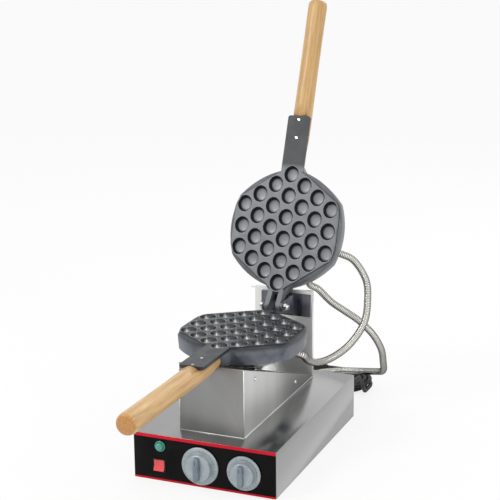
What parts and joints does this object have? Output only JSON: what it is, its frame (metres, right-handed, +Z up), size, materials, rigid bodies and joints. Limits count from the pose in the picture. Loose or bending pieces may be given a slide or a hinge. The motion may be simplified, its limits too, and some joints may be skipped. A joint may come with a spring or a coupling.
{
  "type": "bubble waffle maker",
  "caption": "Electric bubble waffle maker: a steel base with dials carries two hinged cast pans with oval cups, wooden handles and flexible metal hoses.",
  "frame": {"origin": "centre of the base's flat bottom, on the table", "axes": "+Z up, the control panel faces -Y, +X to the right as seen from the panel side"},
  "size_m": [0.2768, 0.8319, 0.7144],
  "materials": {
    "brushed_steel": "bright brushed stainless steel sheet",
    "dark_steel": "dark coated steel",
    "works_steel": "plain moulded housing, hidden",
    "hose_steel": "ribbed flexible metal conduit, stored as a light wall",
    "coated_casting": "cast aluminium with a dark non-stick coating",
    "pale_wood": "smooth clear-lacquered pale wood",
    "panel_black": "black printed sheet with red bands",
    "red_plastic": "glossy red",
    "black_plastic": "satin black",
    "green_lens": "clear teal green lens",
    "dial_silver": "silver blue-grey, satin metallic",
    "cord_rubber": "matte black",
    "white_plastic": "plain, hidden"
  },
  "bodies": {
    "stand": {"base_shell": "brushed_steel", "bottom_plate": "brushed_steel", "control_panel": "panel_black", "lamp_body": "black_plastic", "lamp_lens": "green_lens", "switch_housing": "black_plastic", "timer_works": "works_steel", "thermostat_works": "works_steel", "terminal_block": "white_plastic", "riser": "brushed_steel", "upright": "brushed_steel", "hinge_bracket": "dark_steel", "hinge_pin": "brushed_steel", "pin_nut": "brushed_steel", "lower_pan": "coated_casting", "lower_cover": "brushed_steel", "lower_heater": "dark_steel", "lower_handle": "pale_wood", "lower_gland": "brushed_steel", "hose_upper_lower": "hose_steel", "hose_base_upper": "hose_steel", "base_gland": "brushed_steel", "cord_gland": "black_plastic", "power_cord": "cord_rubber", "cord_coil": "cord_rubber", "plug": "cord_rubber"},
    "upper_half": {"upper_pan": "coated_casting", "upper_cover": "brushed_steel", "upper_heater": "dark_steel", "upper_handle": "pale_wood", "upper_gland_a": "brushed_steel", "upper_gland_b": "brushed_steel"},
    "timer": {"timer_dial": "dial_silver", "timer_shaft": "brushed_steel"},
    "thermostat": {"thermostat_dial": "dial_silver", "thermostat_shaft": "brushed_steel"},
    "switch_rocker": {"rocker": "red_plastic"}
  },
  "joints": [
    {"name": "upper_half_hinge", "type": "hinge", "parent": "stand", "child": "upper_half", "pos_m": [0, 0.107, 0.212], "axis": [1, 0, 0], "range_deg": [0, 112.2], "deforming": ["hose_upper_lower", "hose_base_upper"]},
    {"name": "timer_turn", "type": "hinge", "parent": "stand", "child": "timer", "pos_m": [-0.00528, -0.1892, 0.03553], "axis": [0, 1, 0], "range_deg": [0, 300]},
    {"name": "thermostat_turn", "type": "hinge", "parent": "stand", "child": "thermostat", "pos_m": [0.06792, -0.1892, 0.03531], "axis": [0, 1, 0], "range_deg": [0, 270]},
    {"name": "rocker_tilt", "type": "hinge", "parent": "stand", "child": "switch_rocker", "pos_m": [-0.07584, -0.1868, 0.02548], "axis": [1, 0, 0], "range_deg": [0, 18]}
  ]
}
